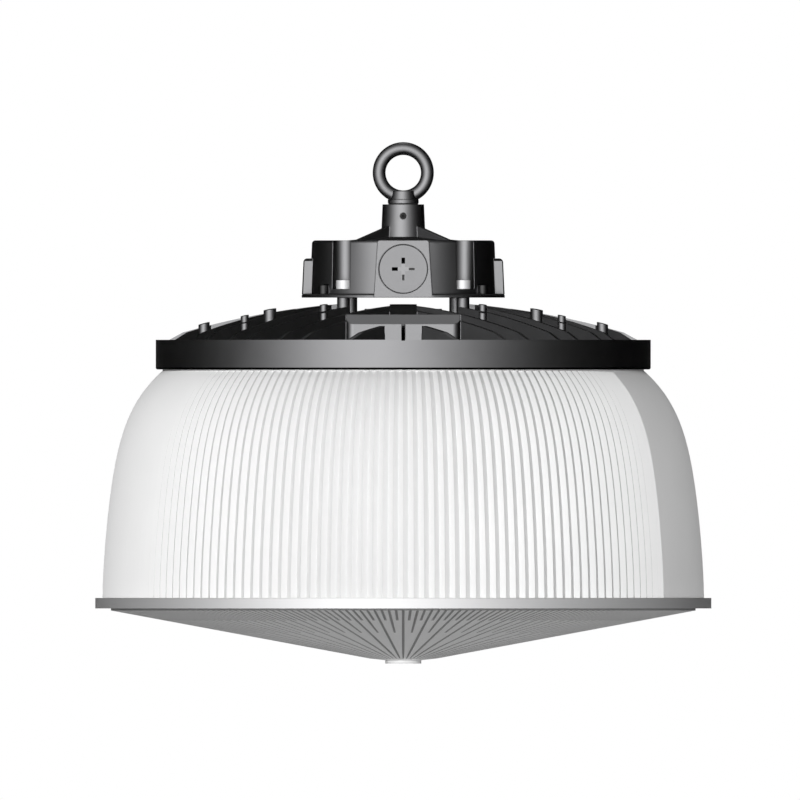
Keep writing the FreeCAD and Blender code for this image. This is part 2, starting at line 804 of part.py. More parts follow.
def add_ejectors(body):
    places = [
        ("ejector_dia", "ejector_near_x", "ejector_near_y"),
        ("ejector_dia", "ejector_near_x", "ejector_near_low_y"),
        ("ejector_dia", "ejector_far_x", "ejector_far_y"),
        ("ejector_dia", "ejector_far_x", "ejector_far_low_y"),
        ("ejector_wide_dia", "ejector_wide_x", "ejector_wide_y"),
        ("ejector_edge_dia", "ejector_edge_x", "ejector_wide_y"),
    ]
    floor = f"({rim_base} + gutter_floor / 2)"
    pins = sketch_in(body, "XY_Plane", "ejectors", floor)
    for dia, x, y in places:
        for side in ("", "-"):
            for end in ("", "-"):
                circle(pins, dia, f"{side}{x}", f"{end}{y}")
    extrude(body, pins, f"{rim_top} + fin_crown + ejector_rise - {floor}")


def add_wiring_box(body):
    low = f"({sink_face} - sink_plate_thickness / 2)"
    face = f"({rim_top} + wiring_box_face)"
    top = f"({rim_top} + wiring_box_rise)"
    plan = sketch_in(body, "XY_Plane", "wiring_box", low)
    near = "(-wiring_box_reach + wiring_box_depth)"
    outline(plan, [
        ("-wiring_box_width / 2", near),
        ("-wiring_box_width / 2", "-wiring_box_reach + wiring_box_corner", "-wiring_box_corner"),
        ("-wiring_box_width / 2 + wiring_box_corner", "-wiring_box_reach"),
        ("wiring_box_width / 2 - wiring_box_corner", "-wiring_box_reach", "-wiring_box_corner"),
        ("wiring_box_width / 2", "-wiring_box_reach + wiring_box_corner"),
        ("wiring_box_width / 2", near),
    ])
    extrude(body, plan, f"{top} - {low}")
    slope = sketch_in(body, "YZ_Plane", "wiring_box_slope")
    outline(slope, [
        ("-wiring_box_reach - wiring_box_slope", f"{face} - (wiring_box_rise - wiring_box_face)"),
        ("-wiring_box_reach + wiring_box_slope", top),
        ("-wiring_box_reach + wiring_box_slope", f"{top} + wiring_box_rise"),
        ("-wiring_box_reach - wiring_box_slope", f"{top} + wiring_box_rise"),
    ])
    extrude(body, slope, "wiring_box_width", "PartDesign::Pocket", both=True)


def add_tower(body):
    low = f"({sink_face} - sink_plate_thickness / 2)"
    long_x = "(tower_length / 2)"
    flat_x = "(tower_length / 2 - tower_corner)"
    long_y = "(tower_width / 2)"
    flat_y = "(tower_width / 2 - tower_corner)"
    tower = sketch_in(body, "XY_Plane", "tower", low)
    outline(tower, [
        (f"-{flat_x}", f"-{long_y}"),
        (flat_x, f"-{long_y}", "-tower_corner"),
        (long_x, f"-{flat_y}"),
        (long_x, flat_y, "-tower_corner"),
        (flat_x, long_y),
        (f"-{flat_x}", long_y, "-tower_corner"),
        (f"-{long_x}", flat_y),
        (f"-{long_x}", f"-{flat_y}", "-tower_corner"),
    ])
    extrude(body, tower, f"{rim_top} + tower_rise - {low}")
    pins = sketch_in(body, "XY_Plane", "pins", low)
    circle(pins, "pin_dia", "pin_x")
    circle(pins, "pin_dia", "-pin_x")
    extrude(body, pins, f"{rim_top} + tower_rise - pin_drop - {low}")


def make_heat_sink():
    gutter_r = f"({cavity_r} + gutter_wall)"
    floor = f"({rim_base} + gutter_floor)"
    inner_rim = "(rim_dia / 2 - rim_wall)"
    body = turned("sink_casting", [
        ("0", sink_face),
        ("0", rim_base),
        ("rim_dia / 2 - rim_edge", rim_base, "-rim_edge"),
        ("rim_dia / 2", f"{rim_base} + rim_edge"),
        ("rim_dia / 2", rim_top),
        (inner_rim, rim_top),
        (inner_rim, floor),
        (gutter_r, floor),
        (gutter_r, sink_face),
    ])
    add_fins(body)
    fin_envelope(body, "fin_tops", "0")
    add_ejectors(body)
    fin_envelope(body, "ejector_tops", "ejector_rise")
    add_wiring_box(body)
    add_tower(body)
    revolve(body, [
        ("0", board_top),
        ("0", f"{rim_base} - rim_height"),
        (cavity_r, f"{rim_base} - rim_height"),
        (cavity_r, board_top),
    ], "lamp_cavity", "PartDesign::Groove")
    stud_depth = "(post_stud_length + hole_spare)"
    holes = [
        (post_places, "post_stud_dia + 2 * thread_clearance", stud_depth, f"{sink_face} - {stud_depth}"),
        (board_screw_places, small_bore, "board_screw_length - board_thickness + hole_spare", board_top),
        (lens_screw_places, small_bore, "lens_screw_grip + hole_spare", board_top),
        (dome_screw_places, "dome_screw_dia + 2 * thread_clearance", "dome_screw_grip + hole_spare", rim_base),
    ]
    drills = []
    for places, dia, depth, low in holes:
        drills += [cylinder("sink_hole", dia, depth, x, y, low) for x, y in places]
    seal_base = f"({rim_top} + tower_rise - seal_depth)"
    seal_seat = cylinder("seal_seat", "seal_dia", "seal_depth", z=seal_base)
    lead_way = cylinder("lead_way", "lead_dia", f"{seal_base} - {board_top}", z=board_top)
    drills.append(fuse("lead_opening", seal_seat, lead_way))
    cut("heat_sink", body, *drills)
    bush = cylinder("seal_bush", "seal_dia", "seal_depth", z=seal_base)
    cut("lead_seal", bush, cylinder("seal_bore", "lead_dia", "seal_depth", z=seal_base))


# Light source and its cover


def pan_screws(name, places, head_dia, head_height, shank_dia, shank_length, seat):
    """Pan head screws driven upwards, with their heads under the seat."""
    screws = []
    for x, y in places:
        head = cylinder(f"{name}_head", head_dia, head_height, x, y, f"{seat} - {head_height}")
        shank = cylinder(f"{name}_shank", shank_dia, shank_length, x, y, seat)
        screws.append(fuse(f"{name}_solid", head, shank))
    group(name, screws)


def make_light_source():
    board = cylinder("board_disc", "board_dia", "board_thickness", z=board_base)
    holes = [cylinder("board_lead_hole", "lead_dia", "board_thickness", z=board_base)]
    for x, y in board_screw_places:
        holes.append(cylinder("board_hole", small_hole, "board_thickness", x, y, board_base))
    cut("led_board", board, *holes)
    pan_screws("led_board_screws", board_screw_places, "small_head_dia", "small_head_height", "small_screw_dia",
               "board_screw_length", board_base)
    chips = new_body("led_chips")
    plan = sketch_in(chips, "XY_Plane", "chips", board_base)
    half = "chip_size / 2"
    for share, dia in enumerate(("chip_inner_dia", "chip_middle_dia", "chip_outer_dia"), start=1):
        for step in range(share):
            turn = f"(360 * {step} / chip_sectors / {share})"
            x = f"{dia} / 2 * cos({turn})"
            y = f"{dia} / 2 * sin({turn})"
            block(plan, f"{x} - {half}", f"{x} + {half}", f"{y} - {half}", f"{y} + {half}")
    polar(chips, extrude(chips, plan, "chip_height", back=True), "chip_sectors")


def make_lens():
    layers = [
        ("lens_gasket", f"{lens_r} - lens_gasket_width", lens_top, "lens_gasket_thickness"),
        ("lens_plate", "0", lens_base, "lens_plate_thickness"),
        ("lens_ring", f"{lens_r} - lens_ring_width", lens_ring_base, "lens_ring_thickness"),
    ]
    for name, inner, low, thickness in layers:
        blank = flat_ring(f"{name}_blank", inner, lens_r, low, f"{low} + {thickness}")
        holes = [cylinder(f"{name}_hole", small_hole, thickness, x, y, low) for x, y in lens_screw_places]
        cut(name, blank, *holes)
    pan_screws("lens_ring_screws", lens_screw_places, "small_head_dia", "small_head_height", "small_screw_dia",
               f"{board_top} - {lens_ring_base} + lens_screw_grip", lens_ring_base)


# Refractor dome, retaining ring and cone lens


def dome_radius(share):
    """Outer radius at a share of the fluted height, 0 at the foot and 1 under the top flange."""
    lean = number("dome_lean")
    drop = lean * share ** number("dome_lean_power") + (1 - lean) * share ** number("dome_shoulder_power")
    foot_r = number("dome_base_dia / 2")
    return foot_r - (foot_r - number(dome_top_r)) * drop


def dome_stations():
    """Heights and radii down the dome, closer together at the shoulder."""
    low = number(ring_top)
    tall = number(flute_top) - low
    count = int(number("dome_stations"))
    crowding = number("dome_station_crowding")
    shares = [1 - (step / count) ** crowding for step in range(count + 1)]
    return [(low + tall * share, dome_radius(share)) for share in shares]


def flute_wire(radius, height):
    """Zigzag ring of the flutes' crests and valleys."""
    count = int(number("flute_count"))
    depth = number("flute_depth")
    corners = []
    for step in range(2 * count):
        reach = radius if step % 2 == 0 else radius - depth
        turn = math.pi * step / count
        corners.append(Vector(reach * math.cos(turn), reach * math.sin(turn), height))
    return Part.makePolygon(corners + corners[:1])


def lathe(points):
    wire = Part.makePolygon([Vector(r, 0, z) for r, z in points + points[:1]])
    return Part.Face(wire).revolve(Vector(), Vector(0, 0, 1), 360)


def make_dome():
    stations = dome_stations()
    wall = number("dome_wall")
    fluted = Part.makeLoft([flute_wire(radius, height) for height, radius in stations], True, True)
    top = number(rim_base)
    flange_r = number(f"{cavity_r} + dome_flange_gap")
    under = number(flute_top)
    top_r = number(dome_top_r)
    flange = lathe([(flange_r, top), (flange_r, under), (top_r, under), (top_r, top)])
    inner_r = number("dome_base_dia / 2") - wall
    valley_r = number("dome_base_dia / 2 - flute_depth")
    foot_r = number(held_r)
    neck = number(ring_top)
    high = number(foot_top)
    low = number(foot_base)
    foot = lathe([
        (inner_r, neck),
        (inner_r, low),
        (foot_r, low),
        (foot_r, high),
        (valley_r, high),
        (valley_r, neck),
    ])
    inside = [(radius - wall, height) for height, radius in stations]
    hollow = lathe([(0, stations[0][0])] + inside + [(0, stations[-1][0])])
    shell = fluted.cut(hollow).fuse([flange, foot])
    hole_r = number("(dome_screw_dia + screw_hole_clearance) / 2")
    holes = []
    for x, y in dome_screw_places:
        holes.append(Part.makeCylinder(hole_r, top - under, Vector(number(x), number(y), under)))
    dome = doc.addObject("Part::Feature", "refractor_dome")
    dome.Shape = shell.cut(holes)
    pan_screws("refractor_screws", dome_screw_places, "dome_screw_head_dia", "dome_screw_head_height",
               "dome_screw_dia", "dome_flange + dome_screw_grip", flute_top)


def make_retaining_ring():
    inner = f"({ring_r} - ring_web)"
    dome_gap = "(dome_base_dia / 2 + fit_clearance)"
    cone_gap = f"({cone_r} + fit_clearance)"
    turned("retaining_ring", [
        (cone_gap, ring_base),
        (ring_r, ring_base),
        (ring_r, ring_top),
        (dome_gap, ring_top),
        (dome_gap, foot_top),
        (inner, foot_top),
        (inner, cone_flange_base),
        (cone_gap, cone_flange_base),
    ])
    flat_ring("ring_gasket", "dome_base_dia / 2 - dome_wall", held_r, cone_top, foot_base)


def make_cone_lens():
    body = turned("cone_lens", [
        ("0", f"{cone_tip} + cone_wall"),
        ("0", f"{cone_tip} - cone_disc_depth"),
        ("cone_disc_dia / 2", f"{cone_tip} - cone_disc_depth"),
        ("cone_disc_dia / 2", cone_tip),
        ("cone_tip_dia / 2", cone_tip),
        (cone_r, cone_edge),
        (cone_r, cone_flange_base),
        (held_r, cone_flange_base),
        (held_r, cone_top),
        (f"{cone_r} - cone_wall", cone_top),
        ("cone_tip_dia / 2", f"{cone_tip} + cone_wall"),
    ])
    slope = f"atan(cone_depth / ({cone_r} - cone_tip_dia / 2))"
    apex = f"({cone_tip} - cone_tip_dia / 2 * tan({slope}))"
    grooves = sketch_in(body, "XY_Plane", "grooves", f"{apex} - cone_groove_width")
    grooves.AttachmentOffset = Placement(Vector(), Rotation(Vector(0, 1, 0), -1))
    bind(grooves, "AttachmentOffset.Rotation.Angle", f"-{slope}")
    outer = f"(({cone_r} + cone_groove_width) / cos({slope}))"
    for turn, inner in (("0", "cone_tip_dia / 2"), ("(180 / cone_groove_sectors)", "cone_groove_half_reach")):
        radial_groove(grooves, turn, f"({inner} / cos({slope}))", outer)
    depth = f"cone_groove_depth + cone_groove_width * cos({slope})"
    polar(body, extrude(body, grooves, depth, "PartDesign::Pocket", back=True), "cone_groove_sectors")


def radial_groove(sketch, turn, inner, outer):
    corners = []
    for reach, side in ((inner, "-"), (outer, "-"), (outer, ""), (inner, "")):
        x = f"{reach} * cos({turn}) - ({side}cone_groove_width / 2) * sin({turn})"
        y = f"{reach} * sin({turn}) + ({side}cone_groove_width / 2) * cos({turn})"
        corners.append((x, y))
    outline(sketch, corners)


nodes = [
    "eye_bolt", "eye_washer", "eye_nut", "eye_set_screw",
    "driver_housing", "cable_entry_plug", "plug_seal",
    "base_plate_gasket", "driver_base_plate", "base_plate_screws",
    "driver_module", "terminal_block", "lead_grommet",
    "driver_screws", "standoff_posts",
    "heat_sink", "lead_seal",
    "led_board", "led_chips", "led_board_screws",
    "lens_gasket", "lens_plate", "lens_ring", "lens_ring_screws",
    "refractor_dome", "refractor_screws",
    "retaining_ring", "ring_gasket", "cone_lens",
]

make_eye_bolt()
make_eye_fixings()
make_housing()
make_entry_plug()
make_base_plate()
make_driver()
make_driver_screws()
make_posts()
make_heat_sink()
make_light_source()
make_lens()
make_dome()
make_retaining_ring()
make_cone_lens()
doc.recompute()

faults = [item.Name for item in doc.Objects if {"Invalid", "Error"} & set(item.State)]
for name in nodes:
    piece = doc.getObject(name)
    if piece.Shape.isNull() or not piece.Shape.isValid() or not piece.Shape.Solids:
        faults.append(name)
if faults:
    raise RuntimeError("failed: " + ", ".join(faults))

os.makedirs("parts", exist_ok=True)
for name in nodes:
    piece = doc.getObject(name)
    piece.Label = name
    piece.Shape.exportStep(f"parts/{name}.step")
    print(name, len(piece.Shape.Solids), round(piece.Shape.Volume, 1))
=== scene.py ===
import math

import bmesh
import bpy
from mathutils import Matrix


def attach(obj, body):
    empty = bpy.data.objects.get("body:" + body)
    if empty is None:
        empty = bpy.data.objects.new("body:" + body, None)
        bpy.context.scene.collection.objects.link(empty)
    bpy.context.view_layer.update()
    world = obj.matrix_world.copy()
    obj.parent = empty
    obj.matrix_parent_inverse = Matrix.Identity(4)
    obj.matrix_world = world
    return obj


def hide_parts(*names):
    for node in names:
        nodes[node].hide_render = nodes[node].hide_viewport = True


# A hanging high bay light. Metres, with the middle of its eye at the origin and +Z up.

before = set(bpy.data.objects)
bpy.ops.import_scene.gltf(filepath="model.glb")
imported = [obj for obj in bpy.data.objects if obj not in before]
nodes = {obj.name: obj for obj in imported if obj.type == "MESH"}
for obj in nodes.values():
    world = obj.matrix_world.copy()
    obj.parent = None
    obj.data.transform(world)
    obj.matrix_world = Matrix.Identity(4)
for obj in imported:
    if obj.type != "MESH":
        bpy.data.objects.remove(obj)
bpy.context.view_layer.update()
mm = 0.001
print("frame:", len(nodes), "nodes")


# node trees written as sums

class Wire:
    def __init__(self, tree, socket=None):
        self.tree = tree
        self.socket = socket

    def node(self, kind, settings=None, inputs=None, out=0):
        made = self.tree.nodes.new(kind)
        for name, value in (settings or {}).items():
            setattr(made, name, value)
        for key, value in (inputs or {}).items():
            if isinstance(value, Wire):
                self.tree.links.new(value.socket, made.inputs[key])
            else:
                made.inputs[key].default_value = value
        return Wire(self.tree, made.outputs[out] if len(made.outputs) else None)

    def pick(self, name):  # another output of the same node
        return Wire(self.tree, self.socket.node.outputs[name])

    def do(self, operation, first, second=0.0):
        return self.node("ShaderNodeMath", {"operation": operation}, {0: first, 1: second})

    def __add__(self, other):
        return self.do("ADD", self, other)

    def __radd__(self, other):
        return self.do("ADD", other, self)

    def __sub__(self, other):
        return self.do("SUBTRACT", self, other)

    def __rsub__(self, other):
        return self.do("SUBTRACT", other, self)

    def __mul__(self, other):
        return self.do("MULTIPLY", self, other)

    def __rmul__(self, other):
        return self.do("MULTIPLY", other, self)

    def __gt__(self, other):  # 1 where it holds; these two reflect each other
        return self.do("GREATER_THAN", self, other)

    def __lt__(self, other):
        return self.do("LESS_THAN", self, other)


def freshWire(owner):  # into the emptied nodes of a material or a world
    owner.use_nodes = True
    owner.node_tree.nodes.clear()
    return Wire(owner.node_tree)


def within(value, low, high):
    return (value > low) * (value < high)


def away(wire, first, second):  # distance from where both are 0
    return wire.do("SQRT", first * first + second * second)


def objectAxes(wire):
    place = wire.node("ShaderNodeTexCoord", out="Object")
    across = wire.node("ShaderNodeSeparateXYZ", inputs={"Vector": place}, out="X")
    return across, across.pick("Y"), across.pick("Z")


# materials

def grey(shade):
    return (shade, shade, shade)


plainDetail = 2.0
bevelSamples = 6
mixColour = {"first": 6, "second": 7, "result": 2}  # the mix node's sockets for colours
grooveMark = "groove"
castMetal = {"Metallic": 1.0, "Specular Tint": (*grey(0.3), 1.0)}
castCoat = {  # satin black powder coat
    "blotch": 14.0 * mm,
    "dark": (0.215, 0.215, 0.22),
    "light": (0.245, 0.245, 0.25),
    "rough": (0.31, 0.06),  # the least, and how much the blotches add
    "fixed": castMetal,
    "skin": {"size": 0.9 * mm, "detail": 1.0, "strength": 0.12, "depth": 0.05 * mm},
    "edge": 0.9 * mm,
}
coats = {
    "castBlack": castCoat,
    "housingBlack": castCoat,
    "sinkBlack": castCoat,
    "plugBlack": {
        "blotch": 6.0 * mm,
        "dark": (0.21, 0.21, 0.215),
        "light": (0.24, 0.24, 0.245),
        "rough": (0.33, 0.06),
        "fixed": castMetal,
        "skin": {"size": 0.5 * mm, "detail": 1.0, "strength": 0.1, "depth": 0.03 * mm},
    },
    "screwOxide": {
        "blotch": 1.5 * mm,
        "dark": grey(0.012),
        "light": grey(0.05),
        "rough": (0.4, 0.1),
        "fixed": {"Metallic": 1.0},
    },
    "sealRubber": {
        "blotch": 4.0 * mm,
        "dark": grey(0.012),
        "light": grey(0.02),
        "rough": (0.75, 0.1),
        "skin": {"size": 0.6 * mm, "detail": plainDetail, "strength": 0.15, "depth": 0.04 * mm},
    },
    "zincPlate": {
        "blotch": 2.5 * mm,
        "dark": (0.84, 0.84, 0.85),
        "light": (0.92, 0.92, 0.93),
        "rough": (0.4, 0.1),
        "fixed": {"Metallic": 0.35},
    },
    "ringSatin": {  # its spun lines stand in for the blotches and the skin
        "dark": (0.77, 0.77, 0.775),
        "light": (0.83, 0.83, 0.835),
        "rough": (0.46, 0.08),
        "fixed": {"Metallic": 0.6},
        "skin": {"strength": 0.05, "depth": 0.02 * mm},
    },
    "domePrism": {
        "blotch": 40.0 * mm,
        "detail": 1.0,
        "dark": grey(0.83),
        "light": grey(0.87),
        "rough": (0.16, 0.06),
        "fixed": {"Specular IOR Level": 0.22, "Alpha": 0.95},
    },
    "conePrism": {
        "blotch": 40.0 * mm,
        "detail": 1.0,
        "dark": grey(0.8),
        "light": grey(0.86),
        "rough": (0.3, 0.06),
        "fixed": {"Specular IOR Level": 0.3},
    },
    "driverPotting": {
        "blotch": 9.0 * mm,
        "dark": grey(0.03),
        "light": grey(0.06),
        "rough": (0.5, 0.2),
    },
    "maskWhite": {
        "blotch": 5.0 * mm,
        "dark": (0.8, 0.8, 0.79),
        "light": (0.86, 0.86, 0.85),
        "rough": (0.4, 0.1),
    },
    "ledPhosphor": {
        "blotch": 0.8 * mm,
        "dark": (0.85, 0.68, 0.2),
        "light": (0.92, 0.78, 0.32),
        "rough": (0.35, 0.1),
    },
    "coverClear": {
        "blotch": 50.0 * mm,
        "detail": 1.0,
        "dark": (0.88, 0.9, 0.9),
        "light": (0.93, 0.94, 0.94),
        "rough": (0.08, 0.05),
        "fixed": {"Alpha": 0.25},
    },
}


def grain(wire, size, detail):  # even noise, `size` metres to a grain
    place = wire.node("ShaderNodeTexCoord", out="Object")
    return wire.node("ShaderNodeTexNoise", inputs={
        "Vector": place, "Scale": 1.0 / size, "Detail": detail}, out="Fac")


def mix(wire, mask, first, second):  # the second where the mask is 1; a colour or a wire each
    first, second = [end if isinstance(end, Wire) else (*end, 1.0) for end in (first, second)]
    inputs = {"Factor": mask, mixColour["first"]: first, mixColour["second"]: second}
    return wire.node("ShaderNodeMix", {"data_type": "RGBA"}, inputs, mixColour["result"])


def bump(wire, height, skin, edge):  # `edge` rounds the corners that light catches
    inputs = {"Height": height, "Strength": skin["strength"], "Distance": skin["depth"]}
    if edge is not None:
        inputs["Normal"] = wire.node(
            "ShaderNodeBevel", {"samples": bevelSamples}, {"Radius": edge})
    return wire.node("ShaderNodeBump", inputs=inputs, out="Normal")


def coatRecipe(wire, coat, blotch=None, edge=None):  # mottled colour and roughness
    if blotch is None:
        blotch = grain(wire, coat["blotch"], coat.get("detail", plainDetail))
    rough, spread = coat["rough"]
    recipe = {
        "Base Color": mix(wire, blotch, coat["dark"], coat["light"]),
        "Roughness": rough + blotch * spread,
        **coat.get("fixed", {}),
    }
    skin = coat.get("skin")
    if skin is not None:
        height = grain(wire, skin["size"], skin["detail"]) if "size" in skin else blotch
        recipe["Normal"] = bump(wire, height, skin, coat.get("edge") if edge is None else edge)
    return recipe


def newMaterial(name, recipe):
    material = bpy.data.materials.new(name)
    wire = freshWire(material)
    shader = wire.node("ShaderNodeBsdfPrincipled", inputs=recipe(wire, coats[name]), out="BSDF")
    wire.node("ShaderNodeOutputMaterial", inputs={"Surface": shader})
    return material


# driver housing

housing = {
    "earTop": -57.4 * mm,
    "earSlack": 0.1 * mm,
    "earFrom": 60.4 * mm,
    "earReach": 66.6 * mm,
    "earLean": 0.042,  # outward, for each metre down
    "earFace": 11.9 * mm,
    "rimSide": 0.85 * mm,
    "rimTop": 1.5 * mm,
    # painted shade along the ears' edges
    "earRimShade": grey(0.008),
    "lugAcross": 53.0 * mm,
    "lugAlong": 35.9 * mm,
    "lugRadius": 3.8 * mm,
    "lugTop": -74.0 * mm,
    # painted shade on the lugs' lower parts
    "lugShade": grey(0.06),
}


def housingRecipe(wire, coat):  # painted shade along the ears' edges and on the lugs
    recipe = coatRecipe(wire, coat)
    across, along, up = objectAxes(wire)
    across, along = wire.do("ABSOLUTE", across), wire.do("ABSOLUTE", along)
    below = housing["earTop"] - up
    side = across > housing["earReach"] - housing["rimSide"] + below * housing["earLean"]
    top = within(below, -housing["earSlack"], housing["rimTop"]) * (across > housing["earFrom"])
    earRimShadeMask = wire.do("MAXIMUM", side, top) * (along > housing["earFace"])
    lugDistance = away(wire, across - housing["lugAcross"], along - housing["lugAlong"])
    lugShadeMask = (lugDistance < housing["lugRadius"]) * (up < housing["lugTop"])
    # paint shade on the lugs, then along the ears' edges
    colour = mix(wire, lugShadeMask, recipe["Base Color"], housing["lugShade"])
    recipe["Base Color"] = mix(wire, earRimShadeMask, colour, housing["earRimShade"])
    return recipe


# heat sink

sink = {
    "front": -60.0 * mm,  # the wiring box lies in front of this
    "boxHalf": 41.0 * mm,
    "boxFrom": -111.2 * mm,
    "underRim": -127.0 * mm,
    "rimEdge": 1.3 * mm,
    # width and heights of the painted shade in the wiring box's slot
    "slotHalf": 1.2 * mm,
    "slot": (-112.0 * mm, -103.3 * mm),
    # heights of the painted shadow line along the rim's foot
    "foot": (-131.4 * mm, -129.9 * mm),
    # the painted shade of both lines
    "dark": grey(0.004),
}


def sinkRecipe(wire, coat):  # rounded under the rim and on the wiring box, with two lines of painted shade
    across, along, up = objectAxes(wire)
    front = along < sink["front"]
    box = within(across, -sink["boxHalf"], sink["boxHalf"]) * front * (up > sink["boxFrom"])
    edge = (up < sink["underRim"]) * sink["rimEdge"] + box * coat["edge"]
    # painted shade in the wiring box's slot and along the rim's foot
    slot = within(across, -sink["slotHalf"], sink["slotHalf"]) * front * within(up, *sink["slot"])
    lines = wire.do("MAXIMUM", slot, within(up, *sink["foot"]))
    recipe = coatRecipe(wire, coat, edge=edge)
    recipe["Base Color"] = mix(wire, lines, recipe["Base Color"], sink["dark"])
    return recipe


# cable entry plug

plug = {
    "middle": -64.2 * mm,
    "radius": 16.1 * mm,
    # width of the painted shadow line round the seam
    "seam": 0.3 * mm,
    "slotHalf": 1.2 * mm,
    "narrowHalf": 0.9 * mm,
    "slotFrom": 3.6 * mm,
    "slotTo": 7.5 * mm,
    # painted light on the cross's middle and in the right and bottom slots, painted shade in the
    # top and left slots, painted shadow in the seam
    "litCross": (0.27, 0.27, 0.275),
    "litSlots": grey(0.3),
    "shadedSlots": grey(0.004),
    "seamShadow": grey(0.01),
}


def plugRecipe(wire, coat):  # a cross of slots: painted light on its middle and in the right and bottom slots, painted shade in the top and left slots, and a painted shadow line round the seam
    recipe = coatRecipe(wire, coat)
    across, up = objectAxes(wire)[::2]
    height = up - plug["middle"]
    distance = away(wire, across, height)
    half, narrow, near, far = [
        plug[name] for name in ("slotHalf", "narrowHalf", "slotFrom", "slotTo")]
    upright = within(across, -half, half)
    level = within(height, -half, half)
    litCross = wire.do("MAXIMUM", upright, level) * (distance < far)
    litLowerSlot = within(across, -narrow, narrow) * within(height, -far, -near)
    litRightSlot = within(height, -narrow, narrow) * within(across, near, far)
    shadedSlots = upright * within(height, near, far) + level * within(across, -far, -near)
    seam = distance > plug["radius"] - plug["seam"]
    # paint light on the cross and the right and bottom slots, shade in the top and left slots,
    # and a shadow in the seam
    for mask, shade in (
            (litCross, "litCross"), (litLowerSlot + litRightSlot, "litSlots"), (shadedSlots, "shadedSlots"),
            (seam, "seamShadow")):
        recipe["Base Color"] = mix(wire, mask, recipe["Base Color"], plug[shade])
    return recipe


# retaining ring

ring = {
    "stretch": (4.0, 4.0, 900.0),
    "lines": 6.0,
    # painted shade along the upper edge, above this height
    "edge": -284.2 * mm,
    "edgeShade": grey(0.7),
}


def ringRecipe(wire, coat):  # spun lines, and painted shade along its upper edge, where it meets the dome
    place = wire.node("ShaderNodeTexCoord", out="Object")
    stretched = wire.node("ShaderNodeMapping", inputs={"Vector": place, "Scale": ring["stretch"]})
    lines = wire.node("ShaderNodeTexNoise", inputs={
        "Vector": stretched, "Scale": ring["lines"], "Detail": plainDetail}, out="Fac")
    recipe = coatRecipe(wire, coat, lines)
    # painted shade along the upper edge
    edge = objectAxes(wire)[2] > ring["edge"]
    recipe["Base Color"] = mix(wire, edge, recipe["Base Color"], ring["edgeShade"])
    return recipe


# repeated slices

weld = 0.01 * mm
flatEdge = 0.0001 * mm
crispAngle = math.radians(22)
ringInputs = {
    "Slice": "Geometry", "Count": "Int", "Start": "Float", "Step": "Float", "Weld": "Float"}


def ringTree(name, material):
    tree = bpy.data.node_groups.new(name, "GeometryNodeTree")
    for label, kind in ringInputs.items():
        tree.interface.new_socket(label, in_out="INPUT", socket_type="NodeSocket" + kind)
    tree.interface.new_socket("Ring", in_out="OUTPUT", socket_type="NodeSocketGeometry")
    wire = Wire(tree)
    given = wire.node("NodeGroupInput", out="Slice")
    points = wire.node("GeometryNodePoints", inputs={"Count": given.pick("Count")})
    turn = given.pick("Start") + given.pick("Step") * wire.node("GeometryNodeInputIndex")
    spin = wire.node("ShaderNodeCombineXYZ", inputs={"Z": turn})
    copies = wire.node("GeometryNodeInstanceOnPoints", inputs={
        "Points": points, "Instance": given, "Rotation": spin})
    whole = wire.node("GeometryNodeRealizeInstances", inputs={"Geometry": copies})
    joined = wire.node("GeometryNodeMergeByDistance", inputs={
        "Geometry": whole, "Distance": given.pick("Weld")})
    painted = wire.node("GeometryNodeSetMaterial", inputs={
        "Geometry": joined, "Material": material})
    wire.node("NodeGroupOutput", inputs={"Ring": painted})
    return tree


def grow(piece, tree, **values):  # runs the tree and keeps its result as a plain mesh
    modifier = piece.modifiers.new(tree.name, "NODES")
    modifier.node_group = tree
    for item in tree.interface.items_tree:
        if item.in_out == "INPUT" and item.name in values:
            modifier[item.identifier] = values[item.name]
    graph = bpy.context.evaluated_depsgraph_get()
    grown = bpy.data.meshes.new_from_object(piece.evaluated_get(graph))
    piece.modifiers.remove(modifier)
    piece.data = grown


def newPiece(name, data):
    piece = bpy.data.objects.new(name, data)
    bpy.context.scene.collection.objects.link(piece)
    return piece


def gridSlice(name, columns, closed, grooved=None):  # columns of points, side by side
    shape = bmesh.new()
    mark = shape.faces.layers.float.new(grooveMark)
    rows = [[shape.verts.new(point) for point in column] for column in columns]
    steps = len(rows[0]) if closed else len(rows[0]) - 1
    for column, (left, right) in enumerate(zip(rows, rows[1:])):
        for step in range(steps):
            after = (step + 1) % len(left)
            face = shape.faces.new((left[step], right[step], right[after], left[after]))
            face[mark] = 1.0 if grooved and grooved(column, step) else 0.0
    mesh = bpy.data.meshes.new(name)
    shape.to_mesh(mesh)
    shape.free()
    return mesh


def crispEdges(mesh):  # closed, faces outward, and smooth apart from sharp edges
    shape = bmesh.new()
    shape.from_mesh(mesh)
    bmesh.ops.dissolve_degenerate(shape, edges=shape.edges, dist=flatEdge)
    bmesh.ops.holes_fill(shape, edges=[edge for edge in shape.edges if edge.is_boundary])
    bmesh.ops.recalc_face_normals(shape, faces=shape.faces)
    for face in shape.faces:
        face.smooth = True
    for edge in shape.edges:
        edge.smooth = edge.calc_face_angle(0.0) < crispAngle
    shape.to_mesh(mesh)
    shape.free()


def around(radius, angle, height):
    return (radius * math.cos(angle), radius * math.sin(angle), height)


# refractor dome

